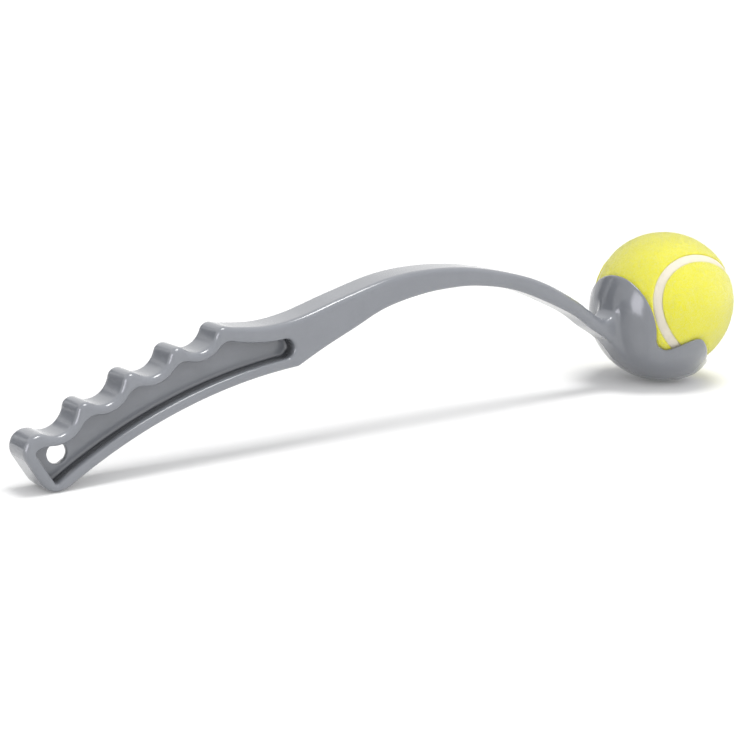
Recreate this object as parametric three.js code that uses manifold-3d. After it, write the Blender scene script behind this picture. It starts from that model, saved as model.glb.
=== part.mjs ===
// Dog ball thrower with its ball, standing on the tail of its handle and the floor of its cup.
// One moulding (handle, arm and cup) holds a felt-covered rubber ball. Millimetres, +Z up.
import * as THREE from 'three';
import { mergeVertices } from 'three/addons/utils/BufferGeometryUtils.js';
import Module from 'manifold-3d';

const wasm = await Module();
wasm.setup();

// Ball sizes
const ballRadius = 32.5;
const feltThickness = 3;
const coreWall = 3.3;
const seamWidth = 4;
const seamSink = 0.5;
const seamWiggleShare = 0.2;
const fitGap = 0.3;
const ballRoll = THREE.MathUtils.degToRad(3);
const ballPitch = THREE.MathUtils.degToRad(-59.2);
const ballYaw = THREE.MathUtils.degToRad(-129.9);

// Cup sizes
const ballClearance = 0.35;
const cupWall = 2.15;
const cupFloorDrop = 2.3;
const lipWall = 1.2;
const lipTaperAngle = THREE.MathUtils.degToRad(16);
const tongueAngle = THREE.MathUtils.degToRad(40);
const tongueTilt = THREE.MathUtils.degToRad(192.8);
const sideDipAngle = THREE.MathUtils.degToRad(66.4);
const mouthAngle = THREE.MathUtils.degToRad(73.7);
const mouthTilt = THREE.MathUtils.degToRad(228);
const cupPoleTilt = THREE.MathUtils.degToRad(243);
const lipCornerBlend = THREE.MathUtils.degToRad(7);

// Handle sizes
const handleWidth = 16.4;
const edgeRadius = 2;
const tailCrestReach = 322.4;
const tailCrestRadius = 6.5;
const tailFaceSlope = THREE.MathUtils.degToRad(58.5);
const tailFaceLength = 10.4;
const heelRoundIn = 8.2;
const heelRoundOut = 8.6;
const heelSlope = THREE.MathUtils.degToRad(26.9);
const lowerEdgeRadius = 224.3;
const firstPitch = 22.8;
const firstSlope = THREE.MathUtils.degToRad(31.5);
const crestCount = 5;
const crestPitch = 21.4;
const crestSlope = THREE.MathUtils.degToRad(24.2);
const crestTurn = THREE.MathUtils.degToRad(4.3);
const crestRadius = 4;
const grooveRadius = 9;

// Pocket and hanging hole sizes
const webThickness = 2.4;
const grooveWall = 3.8;
const lowerWall = 4.6;
const endWall = 4.4;
const pocketPeakRadius = 7;
const slotTurnAngle = THREE.MathUtils.degToRad(66);
const slotRadius = 4;
const slotRun = 27.8;
const slotEase = 8.8;
const slotSag = 1.2;
const hangingHoleRadius = 4.1;
const hangingHoleAlong = 9.4;
const hangingHoleBelow = 3.4;

// Arm sizes
const archHeight = 67.3;
const cupEndWidth = 13;
const taperStartShare = 0.45;
const flareRadius = 6;
const rootTopShare = 0.5;
const rootFootShare = 0.33;
const rootDepth = 0.8;

// Points of the arm's top and underside, as shares of its span to the cup and of the arch's height
const armTopShares = [[0.033, 0.79], [0.1, 0.774], [0.172, 0.798], [0.269, 0.875], [0.384, 0.972],
  [0.49, 1], [0.6, 0.97], [0.72, 0.877], [0.803, 0.783], [0.882, 0.655], [0.913, 0.593]];
const armUnderShares = [[1.043, 0.153], [0.986, 0.309], [0.932, 0.419], [0.865, 0.559], [0.726, 0.776],
  [0.613, 0.851], [0.522, 0.86], [0.447, 0.838], [0.369, 0.785], [0.297, 0.691], [0.226, 0.599],
  [0.165, 0.513]];

// One overrun for every cut
const overrun = 5;

// Facet counts
const outlineSteps = 4;
const holeSteps = 10;
const filletSteps = 3;
const cupSectors = 60;
const cupRings = 8;
const panelSteps = 40;
const panelRows = 6;
const seamSteps = 88;
const coreSectors = 28;
const coreSteps = 8;

// Places that follow from the sizes
const cupInnerRadius = ballRadius + ballClearance;
const cupOuterRadius = cupInnerRadius + cupWall;
const ballHeight = cupOuterRadius + cupFloorDrop;
const lastCrest = crestCount - 1;

// Point and vector helpers for the side view, where x runs from tail to cup and y is height
const at = (x, y) => new THREE.Vector2(x, y);
const ray = (angle, length) => at(Math.cos(angle) * length, Math.sin(angle) * length);
const angleOf = (from, to) => Math.atan2(to.y - from.y, to.x - from.x);

// The point at the given distances from two centres, on the right-hand side of the way from one to the other
function beside(one, oneRadius, other, otherRadius) {
  const span = one.distanceTo(other);
  const turn = Math.acos((oneRadius ** 2 + span ** 2 - otherRadius ** 2) / (2 * oneRadius * span));
  return ray(angleOf(one, other) - turn, oneRadius).add(one);
}

// The tail's end face and rounded heel, measured from the centre of the tail crest
const tailFaceTop = ray(-tailFaceSlope - Math.PI / 2, tailCrestRadius);
const heelTop = ray(-tailFaceSlope, tailFaceLength).add(tailFaceTop);
const heelPoint = ray(-tailFaceSlope, heelRoundIn).add(heelTop);
const heelBack = ray(heelSlope, heelRoundOut).add(heelPoint);

// The height at which the rounded heel just touches the surface that the thrower stands on
const heelLowest = (heelTop.y * heelBack.y - heelPoint.y ** 2) / (heelTop.y - 2 * heelPoint.y + heelBack.y);
const tailCrest = at(-tailCrestReach, -heelLowest);
for (const point of [tailFaceTop, heelTop, heelPoint, heelBack]) point.add(tailCrest);

// Centres of the finger crests and of the groove after each; the crest past the last only sets its groove
const crests = [tailCrest, ray(firstSlope, firstPitch).add(tailCrest)];
for (let k = 1; k <= lastCrest; k += 1) {
  crests.push(ray(crestSlope - (k - 1) * crestTurn, crestPitch).add(crests[k]));
}
const crestRadiusOf = (k) => (k === 0 ? tailCrestRadius : crestRadius);
const grooves = crests.slice(1).map((crest, k) => beside(
  crest, crestRadiusOf(k + 1) + grooveRadius, crests[k], crestRadiusOf(k) + grooveRadius,
));

// The arm runs from the last crest to the cup, and the lower edge from the heel to the arm's underside
const armStart = crests[lastCrest].x;
const armSpan = -cupOuterRadius - armStart;
const armPoint = ([alongShare, heightShare]) => at(armStart + alongShare * armSpan, heightShare * archHeight);
const armTop = armTopShares.map(armPoint);
const [armRoot, ...armUnder] = armUnderShares.map(armPoint);
const lowerEdgeEnd = armUnder[armUnder.length - 1];
const lowerEdgeCentre = beside(heelBack, lowerEdgeRadius, lowerEdgeEnd, lowerEdgeRadius);

// Side outline of handle and arm, clockwise from the heel of the tail
function bodyOutline() {
  const shape = new THREE.Shape();
  shape.moveTo(heelTop.x, heelTop.y);
  shape.absarc(tailCrest.x, tailCrest.y, tailCrestRadius,
    angleOf(tailCrest, tailFaceTop), angleOf(tailCrest, grooves[0]), true);
  for (let k = 0; k < lastCrest; k += 1) {
    const groove = grooves[k];
    const next = crests[k + 1];
    shape.absarc(groove.x, groove.y, grooveRadius, angleOf(groove, crests[k]), angleOf(groove, next), false);
    const leave = k + 1 === lastCrest
      ? angleOf(next, armTop[0]) + Math.acos(crestRadius / next.distanceTo(armTop[0]))
      : angleOf(next, grooves[k + 1]);
    shape.absarc(next.x, next.y, crestRadius, angleOf(next, groove), leave, true);
  }
  shape.splineThru(armTop);
  const [before, shoulder] = armTop.slice(-2);
  const slope = angleOf(before, shoulder);
  const flareX = -cupOuterRadius - flareRadius;
  const flareY = shoulder.y + Math.tan(slope) * (flareX - shoulder.x) + flareRadius / Math.cos(slope);
  shape.absarc(flareX, flareY, flareRadius, slope - Math.PI / 2, 0, false);
  shape.lineTo(-cupOuterRadius * rootTopShare, flareY);
  shape.lineTo(-cupOuterRadius * rootFootShare, armRoot.y);
  shape.lineTo(armRoot.x, armRoot.y);
  shape.splineThru(armUnder);
  shape.absarc(lowerEdgeCentre.x, lowerEdgeCentre.y, lowerEdgeRadius,
    angleOf(lowerEdgeCentre, lowerEdgeEnd), angleOf(lowerEdgeCentre, heelBack), false);
  shape.quadraticCurveTo(heelPoint.x, heelPoint.y, heelTop.x, heelTop.y);
  return shape;
}

// Outline of the pocket, the body outline drawn in by its walls
function pocketOutline() {
  const shape = new THREE.Shape();
  const ceilingRadius = grooveRadius + grooveWall;
  const floorRadius = lowerEdgeRadius + lowerWall;
  const peakReach = ceilingRadius + pocketPeakRadius;
  const slotX = armStart + slotRun;
  const slotDrop = slotX - lowerEdgeCentre.x;
  const slotCentre = at(slotX, lowerEdgeCentre.y + Math.sqrt((floorRadius + slotRadius) ** 2 - slotDrop ** 2));
  const inward = ray(Math.PI / 2 - tailFaceSlope, endWall);
  const wallTop = tailFaceTop.clone().add(inward);
  const wallLow = heelTop.clone().add(inward);
  const fall = lowerEdgeCentre.distanceTo(wallLow) - floorRadius;
  const corner = ray(-tailFaceSlope, fall).add(wallLow);
  const startAngle = angleOf(grooves[0], wallTop) + Math.asin(endWall / ceilingRadius);
  const start = ray(startAngle, ceilingRadius).add(grooves[0]);
  shape.moveTo(corner.x, corner.y);
  shape.lineTo(wallTop.x, wallTop.y);
  shape.quadraticCurveTo(wallTop.x, start.y, start.x, start.y);
  let angle = startAngle;
  for (let k = 0; k < lastCrest; k += 1) {
    const groove = grooves[k];
    const next = grooves[k + 1];
    const peak = beside(groove, peakReach, next, peakReach);
    const leave = k + 1 === lastCrest ? slotTurnAngle : angleOf(peak, next);
    shape.absarc(groove.x, groove.y, ceilingRadius, angle, angleOf(groove, peak), false);
    shape.absarc(peak.x, peak.y, pocketPeakRadius, angleOf(peak, groove), leave, true);
    angle = angleOf(next, peak);
  }
  const slotTop = slotCentre.y + slotRadius;
  shape.quadraticCurveTo(slotX - slotEase, slotTop - slotSag, slotX, slotTop);
  shape.absarc(slotX, slotCentre.y, slotRadius, Math.PI / 2, angleOf(slotCentre, lowerEdgeCentre), true);
  shape.absarc(lowerEdgeCentre.x, lowerEdgeCentre.y, floorRadius,
    angleOf(lowerEdgeCentre, slotCentre), angleOf(lowerEdgeCentre, corner), false);
  return shape;
}

// Turns a closed geometry into a solid that can be cut and joined
function solidOf(geometry) {
  const bare = geometry.index ? geometry.toNonIndexed() : geometry.clone();
  bare.deleteAttribute('normal');
  bare.deleteAttribute('uv');
  const merged = mergeVertices(bare);
  const vertProperties = new Float32Array(merged.attributes.position.array);
  const triVerts = new Uint32Array(merged.index.array);
  return new wasm.Manifold(new wasm.Mesh({ numProp: 3, vertProperties, triVerts }));
}

function geometryOf(solid) {
  const mesh = solid.getMesh();
  const geometry = new THREE.BufferGeometry();
  geometry.setAttribute('position', new THREE.BufferAttribute(mesh.vertProperties, 3));
  geometry.setIndex(new THREE.BufferAttribute(mesh.triVerts, 1));
  return geometry;
}

// Closed surface from rings of points: each ring joins the next, and poles are fanned
function ringSurface(rings, closed) {
  const count = rings[0].length;
  const position = rings.flat().flatMap((p) => [p.x, p.y, p.z]);
  const index = [];
  const spans = closed ? rings.length : rings.length - 1;
  for (let i = 0; i < spans; i += 1) {
    for (let j = 0; j < count; j += 1) {
      const a = i * count + j;
      const b = i * count + ((j + 1) % count);
      const c = ((i + 1) % rings.length) * count + ((j + 1) % count);
      const d = ((i + 1) % rings.length) * count + j;
      index.push(a, b, c, a, c, d);
    }
  }
  const geometry = new THREE.BufferGeometry();
  geometry.setAttribute('position', new THREE.Float32BufferAttribute(position, 3));
  geometry.setIndex(index);
  return geometry;
}

// Drops the triangles that a pole has squeezed flat
function withoutSlivers(geometry) {
  const bare = mergeVertices(geometry);
  const source = bare.index.array;
  const kept = [];
  for (let i = 0; i < source.length; i += 3) {
    const [a, b, c] = [source[i], source[i + 1], source[i + 2]];
    if (a !== b && b !== c && a !== c) kept.push(a, b, c);
  }
  bare.setIndex(kept);
  return bare;
}

// The arm narrows from the handle's width to the cup's
function narrowed(geometry) {
  const position = geometry.attributes.position;
  const start = armStart + taperStartShare * armSpan;
  for (let i = 0; i < position.count; i += 1) {
    const share = THREE.MathUtils.smoothstep(position.getX(i), start, -cupOuterRadius);
    const width = THREE.MathUtils.lerp(handleWidth, cupEndWidth, share);
    position.setY(i, position.getY(i) * width / handleWidth);
  }
  return geometry;
}

// Extrudes a side outline across the handle, from one depth to another
function acrossHandle(shape, from, to, options) {
  const geometry = new THREE.ExtrudeGeometry(shape, {
    depth: to - from, bevelEnabled: false, curveSegments: outlineSteps, ...options,
  });
  geometry.translate(0, 0, from);
  geometry.rotateX(Math.PI / 2);
  return geometry;
}

function handleAndArm() {
  const inset = handleWidth / 2 - edgeRadius;
  const body = solidOf(narrowed(acrossHandle(bodyOutline(), -inset, inset, {
    bevelEnabled: true, bevelSize: edgeRadius, bevelThickness: edgeRadius,
    bevelOffset: -edgeRadius, bevelSegments: filletSteps,
  })));
  const side = handleWidth / 2 + overrun;
  const pocketShape = pocketOutline();
  const nearPocket = solidOf(acrossHandle(pocketShape, webThickness / 2, side, {}));
  const farPocket = solidOf(acrossHandle(pocketShape, -side, -webThickness / 2, {}));
  const hole = new THREE.Shape();
  const holeX = tailCrest.x + hangingHoleAlong;
  const holeY = tailCrest.y - hangingHoleBelow;
  hole.absarc(holeX, holeY, hangingHoleRadius, 0, 2 * Math.PI, false);
  const bore = solidOf(acrossHandle(hole, -overrun, overrun, { curveSegments: holeSteps }));
  const ballRoom = new THREE.SphereGeometry(cupInnerRadius + rootDepth, coreSectors, coreSectors / 2);
  ballRoom.translate(0, 0, ballHeight);
  return body.subtract(nearPocket).subtract(farPocket).subtract(bore).subtract(solidOf(ballRoom));
}

// Directions in the middle plane, by angle from the throwing direction
const inPlane = (angle) => new THREE.Vector3(Math.cos(angle), 0, Math.sin(angle));
const cupPole = inPlane(cupPoleTilt);
const cupForward = inPlane(cupPoleTilt - Math.PI / 2);
const cupSide = new THREE.Vector3(0, 1, 0);
const straightDown = inPlane(-Math.PI / 2);

function cupDirection(polar, sector) {
  const sideways = cupForward.clone().multiplyScalar(Math.cos(sector))
    .addScaledVector(cupSide, Math.sin(sector));
  return cupPole.clone().multiplyScalar(Math.cos(polar)).addScaledVector(sideways, Math.sin(polar));
}

// Angle from the cup's pole at which a sector leaves the cone of the given axis and half angle
function coneEdge(axis, halfAngle, sector) {
  const along = cupPole.dot(axis);
  const across = cupDirection(Math.PI / 2, sector).dot(axis);
  const reach = Math.cos(halfAngle) / Math.hypot(along, across);
  return Math.abs(reach) > 1 ? 0 : Math.atan2(across, along) + Math.acos(reach);
}

const blendedLow = (a, b, blend) => (a + b - Math.hypot(a - b, blend)) / 2;
const blendedHigh = (a, b, blend) => (a + b + Math.hypot(a - b, blend)) / 2;

// Rim of the claw: a tongue behind the ball, dipped sides, and a mouth cut square to the throw
function rimAngle(sector) {
  const sides = coneEdge(straightDown, sideDipAngle, sector);
  const mouth = coneEdge(inPlane(mouthTilt), mouthAngle, sector);
  const tongue = coneEdge(inPlane(tongueTilt), tongueAngle, sector);
  return blendedHigh(blendedLow(sides, mouth, lipCornerBlend), tongue, lipCornerBlend);
}

// Distance of the cup's outer face from the ball's centre: thick at the floor, thin at the lip
function cupFace(direction, fromRim) {
  const dip = cupFloorDrop * direction.z;
  const full = Math.sqrt(cupOuterRadius ** 2 - cupFloorDrop ** 2 + dip ** 2) - dip;
  const lip = cupInnerRadius + lipWall;
  const share = THREE.MathUtils.smoothstep(fromRim, -lipTaperAngle / 2, lipTaperAngle);
  return lip + Math.max(full - lip, 0) * share;
}

function cup() {
  const outside = [];
  const inside = [];
  for (let i = 0; i <= cupRings; i += 1) {
    const outerRing = [];
    const innerRing = [];
    for (let j = 0; j < cupSectors; j += 1) {
      const sector = (2 * Math.PI * j) / cupSectors;
      const rim = rimAngle(sector);
      const polar = (rim * i) / cupRings;
      const direction = cupDirection(polar, sector);
      outerRing.push(direction.clone().multiplyScalar(cupFace(direction, rim - polar)));
      innerRing.push(direction.clone().multiplyScalar(cupInnerRadius));
    }
    inside.push(innerRing);
    outside.unshift(outerRing);
  }
  const geometry = withoutSlivers(ringSurface([...inside, ...outside], false));
  geometry.translate(0, 0, ballHeight);
  return solidOf(geometry);
}

// Seam of the ball as a closed curve on a sphere, in its own frame
function seamDirection(turn) {
  const wide = 1 - seamWiggleShare;
  return new THREE.Vector3(
    wide * Math.cos(turn) + seamWiggleShare * Math.cos(3 * turn),
    wide * Math.sin(turn) - seamWiggleShare * Math.sin(3 * turn),
    2 * Math.sqrt(wide * seamWiggleShare) * Math.sin(2 * turn),
  ).normalize();
}

// A point beside the seam, at a distance from its middle along the ball's skin
function besideSeam(turn, offset) {
  const step = Math.PI / seamSteps;
  const middle = seamDirection(turn);
  const run = seamDirection(turn + step).sub(seamDirection(turn - step)).normalize();
  const across = run.cross(middle).normalize();
  const angle = offset / ballRadius;
  return middle.multiplyScalar(Math.cos(angle)).addScaledVector(across, Math.sin(angle));
}

// The direction at a share of the way along the great circle from one direction to another
function onArc(from, to, share) {
  const angle = from.angleTo(to);
  return from.clone().multiplyScalar(Math.sin((1 - share) * angle) / Math.sin(angle))
    .addScaledVector(to, Math.sin(share * angle) / Math.sin(angle));
}

// One dog-bone felt panel: rows run between the two sides of its outline
function feltPanel() {
  const rowsAt = (k, radius) => {
    const turn = -Math.PI / 4 + (Math.PI * k) / panelSteps;
    const edge = besideSeam(turn, -(seamWidth / 2 + fitGap));
    const mirror = new THREE.Vector3(-edge.y, -edge.x, edge.z);
    const row = [];
    for (let j = 0; j <= panelRows; j += 1) {
      const share = j / panelRows;
      const point = k % panelSteps === 0 ? edge.clone() : onArc(edge, mirror, share);
      row.push(point.multiplyScalar(radius));
    }
    return row;
  };
  const rings = [];
  for (let k = 0; k <= panelSteps; k += 1) {
    rings.push([...rowsAt(k, ballRadius - feltThickness), ...rowsAt(k, ballRadius).reverse()]);
  }
  return withoutSlivers(ringSurface(rings, false));
}

// Rubber seam band between the panels
function seamBand() {
  const outer = ballRadius - seamSink;
  const inner = ballRadius - feltThickness;
  const half = seamWidth / 2;
  const rings = [];
  for (let k = 0; k < seamSteps; k += 1) {
    const turn = (2 * Math.PI * k) / seamSteps;
    rings.push([besideSeam(turn, -half).multiplyScalar(outer), besideSeam(turn, half).multiplyScalar(outer),
      besideSeam(turn, half).multiplyScalar(inner), besideSeam(turn, -half).multiplyScalar(inner)]);
  }
  return ringSurface(rings, true);
}

// Half of the rubber core, a thick bowl, open at its joint
function coreHalf() {
  const outer = ballRadius - feltThickness - fitGap;
  const inner = outer - coreWall;
  const profile = [];
  for (let k = 0; k <= coreSteps; k += 1) {
    const angle = (Math.PI / 2) * (k / coreSteps);
    profile.push(at(Math.sin(angle) * outer, fitGap / 2 + Math.cos(angle) * (outer - fitGap / 2)));
  }
  for (let k = coreSteps; k >= 0; k -= 1) {
    const angle = (Math.PI / 2) * (k / coreSteps);
    profile.push(at(Math.sin(angle) * inner, fitGap / 2 + Math.cos(angle) * (inner - fitGap / 2)));
  }
  profile.reverse();
  return new THREE.LatheGeometry(profile, coreSectors);
}

const thrower = new THREE.Group();

function addPiece(name, geometry, look, parent = thrower) {
  geometry.computeVertexNormals();
  const mesh = new THREE.Mesh(geometry, new THREE.MeshStandardMaterial(look));
  mesh.name = name;
  parent.add(mesh);
  return mesh;
}

const greyPlastic = { color: 0x949aa3, roughness: 0.3, metalness: 0 };
const yellowFelt = { color: 0xe2dc3c, roughness: 0.95, metalness: 0 };
const paleRubber = { color: 0xe9e4da, roughness: 0.7, metalness: 0 };
const darkRubber = { color: 0x4a4744, roughness: 0.8, metalness: 0 };

addPiece('moulded_thrower', geometryOf(handleAndArm().add(cup())), greyPlastic);

// The ball sits in the cup, turned so that a bend of its seam faces the near side
const ball = new THREE.Group();
ball.position.set(0, 0, ballHeight);
ball.rotation.set(ballRoll, ballPitch, ballYaw);
thrower.add(ball);
addPiece('felt_panel_a', feltPanel(), yellowFelt, ball);
addPiece('felt_panel_b', feltPanel(), yellowFelt, ball).rotation.set(Math.PI, 0, 0);
addPiece('ball_seam', seamBand(), paleRubber, ball);
addPiece('ball_core_half_a', coreHalf(), darkRubber, ball);
addPiece('ball_core_half_b', coreHalf(), darkRubber, ball).rotation.set(Math.PI, 0, 0);

// The origin is under the middle of the whole, on the surface that it stands on
thrower.updateMatrixWorld(true);
const bounds = new THREE.Box3().setFromObject(thrower, true);
thrower.position.set(-(bounds.min.x + bounds.max.x) / 2, 0, -bounds.min.z);

export default thrower;
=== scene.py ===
# Looks of the dog ball thrower: one glossy grey moulding that holds a felt ball with a pale seam.
import cmath
import logging
import math
import random
from collections.abc import Callable
from dataclasses import dataclass, field, replace
from enum import Enum
from typing import Any

import bpy
import numpy as np
from mathutils import Matrix, Vector, noise


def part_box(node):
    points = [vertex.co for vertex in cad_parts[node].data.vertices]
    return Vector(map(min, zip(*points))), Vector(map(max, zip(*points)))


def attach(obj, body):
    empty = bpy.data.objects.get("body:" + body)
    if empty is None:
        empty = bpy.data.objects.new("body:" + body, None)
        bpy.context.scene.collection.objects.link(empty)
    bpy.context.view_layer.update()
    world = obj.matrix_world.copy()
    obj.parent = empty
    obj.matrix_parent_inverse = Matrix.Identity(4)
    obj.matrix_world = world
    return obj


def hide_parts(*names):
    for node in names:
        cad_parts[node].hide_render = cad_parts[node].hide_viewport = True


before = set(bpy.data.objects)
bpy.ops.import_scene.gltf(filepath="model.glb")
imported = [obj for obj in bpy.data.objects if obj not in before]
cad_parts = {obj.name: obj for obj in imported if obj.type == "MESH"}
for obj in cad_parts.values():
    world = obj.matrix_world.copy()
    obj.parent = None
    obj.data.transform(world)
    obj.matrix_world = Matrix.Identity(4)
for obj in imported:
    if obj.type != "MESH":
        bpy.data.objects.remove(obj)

log = logging.getLogger("ball_thrower")

# Lengths are in metres. In the side view a point is a complex number: its real part runs from
# the tail of the handle to the cup, with zero under the ball, and its imaginary part is the height.
Point = complex
Colour = tuple[float, float, float, float]
Piece = bpy.types.Object
Tree = bpy.types.NodeTree
Socket = bpy.types.NodeSocket

# What lies closer together than this counts as one place.
SAME_PLACE = 1e-6

# The pen draws no edge that is shorter than this.
SHORTEST_EDGE = 5e-5

# The most that one edge of a drawn arc turns and runs, and the edges in any other drawn curve.
ARC_STEP = math.radians(5)
ARC_LENGTH_STEP = 0.0015
CURVE_STEPS = 12

# A face looks a way if the cosine between its normal and the way is above this.
FACING = 0.9

# The vertex attribute that marks the walls of the pockets, where shade is painted into the
# plastic's colour.
PAINTED_SHADE_MARK = "painted_shade"

# The curve of an 8-bit screen level: a straight toe, then a power.
SCREEN_TOE = 0.04045
SCREEN_TOE_SLOPE = 12.92
SCREEN_OFFSET = 0.055
SCREEN_POWER = 2.4

WHITE: Colour = (1.0, 1.0, 1.0, 1.0)


class Body(Enum):
    """The two bodies of the frame that a piece can ride on."""

    THROWER = "thrower"
    BALL = "ball"


class Slot(Enum):
    """The record's material slots."""

    PLASTIC = "grey_plastic"
    FELT = "yellow_felt"
    SEAM = "pale_rubber"
    CORE = "dark_rubber"


class Side(Enum):
    """The two sides of the handle, as the sign of Y."""

    NEAR = -1
    FAR = 1


def ray(angle: float, length: float) -> Point:
    """Returns the side-view step of a length in a direction."""
    return cmath.rect(length, angle)


def angle_of(start: Point, end: Point) -> float:
    """Returns the direction from one side-view point to another."""
    return cmath.phase(end - start)


def beside(one: Point, one_radius: float, other: Point, other_radius: float) -> Point:
    """Finds the point at given distances from two centres.

    Args:
        one: The first centre.
        one_radius: Distance from the first centre.
        other: The second centre.
        other_radius: Distance from the second centre.

    Returns:
        The point on the right-hand side of the way from the first centre to the second.
    """
    span = abs(other - one)
    turn = math.acos((one_radius**2 + span**2 - other_radius**2) / (2 * one_radius * span))
    return one + ray(angle_of(one, other) - turn, one_radius)


def smoothstep(low: float, high: float, value: float | np.ndarray) -> float | np.ndarray:
    """Returns an eased share from 0 at low to 1 at high."""
    share = np.clip((value - low) / (high - low), 0.0, 1.0)
    return share * share * (3 - 2 * share)


def linear_level(level: int) -> float:
    """Returns the scene-linear level of an 8-bit screen level.

    Args:
        level: The screen level, from 0 to 255.

    Returns:
        The level from 0 to 1.
    """
    share = level / 255
    if share <= SCREEN_TOE:
        return share / SCREEN_TOE_SLOPE
    return ((share + SCREEN_OFFSET) / (1 + SCREEN_OFFSET)) ** SCREEN_POWER


def linear(red: int, green: int, blue: int) -> Colour:
    """Returns the scene-linear colour of an 8-bit screen colour."""
    return (linear_level(red), linear_level(green), linear_level(blue), 1.0)


def activate(piece: Piece) -> None:
    """Selects one object alone and makes it active.

    Args:
        piece: The object.
    """
    bpy.ops.object.select_all(action="DESELECT")
    piece.select_set(True)
    bpy.context.view_layer.objects.active = piece


def added(operator: Callable[..., Any], **settings: Any) -> Piece:
    """Adds a primitive, lamp or camera with nothing else selected.

    Args:
        operator: The operator that adds it.
        **settings: The operator's settings by name.

    Returns:
        The new object.
    """
    bpy.ops.object.select_all(action="DESELECT")
    operator(**settings)
    return bpy.context.active_object


def settle() -> None:
    """Moves the active object's place, turn and size into its mesh."""
    bpy.ops.object.transform_apply(location=True, rotation=True, scale=True)


def apply_modifier(piece: Piece, kind: str, **settings: Any) -> None:
    """Adds a modifier with its settings and applies it.

    Args:
        piece: The object that is changed.
        kind: Blender's name for the type of modifier.
        **settings: The modifier's properties by name.
    """
    activate(piece)
    bpy.ops.object.modifier_add(type=kind)
    modifier = piece.modifiers[-1]
    for name, value in settings.items():
        setattr(modifier, name, value)
    bpy.ops.object.modifier_apply(modifier=modifier.name)


def combine(piece: Piece, tool: Piece, operation: str) -> None:
    """Cuts a closed tool out of a piece or joins it on, and removes the tool.

    Args:
        piece: The closed object that is changed.
        tool: The other closed object.
        operation: Blender's name for the boolean operation.
    """
    apply_modifier(piece, "BOOLEAN", operation=operation, solver="MANIFOLD", object=tool)
    bpy.data.objects.remove(tool)


def reshape(piece: Piece, move: Callable[[Vector], Vector]) -> None:
    """Moves every vertex of a piece to where a function puts it.

    Args:
        piece: The object whose mesh is shaped.
        move: Gives a vertex's new place from its old one.
    """
    for vertex in piece.data.vertices:
        vertex.co = move(vertex.co)


def places_of(piece: Piece, origin: Vector) -> np.ndarray:
    """Reads where the vertices of a piece are.

    Args:
        piece: The object whose mesh is read.
        origin: The point that the places are given from.

    Returns:
        One row for each vertex.
    """
    flat = np.empty(3 * len(piece.data.vertices))
    piece.data.vertices.foreach_get("co", flat)
    return flat.reshape(-1, 3) - np.array(origin)


def weld(piece: Piece) -> None:
    """Merges the vertices that lie together and points all faces outwards.

    Args:
        piece: The object whose mesh is mended.
    """
    activate(piece)
    bpy.ops.object.mode_set(mode="EDIT")
    bpy.ops.mesh.select_all(action="SELECT")
    bpy.ops.mesh.remove_doubles(threshold=SAME_PLACE)
    bpy.ops.mesh.normals_make_consistent(inside=False)
    bpy.ops.object.mode_set(mode="OBJECT")


def deselect_mesh(mesh: bpy.types.Mesh) -> None:
    """Deselects every vertex, edge and face of a mesh."""
    for elements in (mesh.vertices, mesh.edges, mesh.polygons):
        elements.foreach_set("select", [False] * len(elements))


def select_face(piece: Piece, facing: Vector) -> None:
    """Selects the largest face that looks one way and leaves the piece in edit mode.

    Args:
        piece: The object whose face is wanted.
        facing: The direction that the face looks in.
    """
    activate(piece)
    deselect_mesh(piece.data)
    ahead = [face for face in piece.data.polygons if face.normal.dot(facing) > FACING]
    max(ahead, key=lambda face: face.area).select = True
    bpy.context.tool_settings.mesh_select_mode = (False, False, True)
    bpy.ops.object.mode_set(mode="EDIT")


def select_points(piece: Piece, chosen: np.ndarray) -> None:
    """Selects the vertices of a mask and leaves the piece in edit mode.

    Args:
        piece: The object whose vertices are wanted.
        chosen: One truth value for each vertex.
    """
    activate(piece)
    deselect_mesh(piece.data)
    piece.data.vertices.foreach_set("select", chosen.tolist())
    bpy.context.tool_settings.mesh_select_mode = (True, False, False)
    bpy.ops.object.mode_set(mode="EDIT")


def round_over(radius: float, steps: int, hollow: bool = False) -> None:
    """Insets the selected face in small steps so that its edge becomes a quarter round.

    Args:
        radius: Radius of the rounded edge.
        steps: Number of steps in the quarter turn.
        hollow: True for a rounding that flares like a trumpet, False for a plain one.
    """
    turns = [math.pi / 2 * k / steps for k in range(steps + 1)]
    for start, end in zip(turns, turns[1:]):
        narrow = radius * (math.cos(start) - math.cos(end))
        deep = radius * (math.sin(end) - math.sin(start))
        thickness, depth = (deep, narrow) if hollow else (narrow, deep)
        bpy.ops.mesh.inset(use_boundary=True, use_even_offset=True,
                           thickness=thickness, depth=depth)


def pull(step: Vector) -> None:
    """Extrudes what is selected in edit mode by a step."""
    bpy.ops.mesh.extrude_region_move(TRANSFORM_OT_translate={"value": step})


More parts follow.
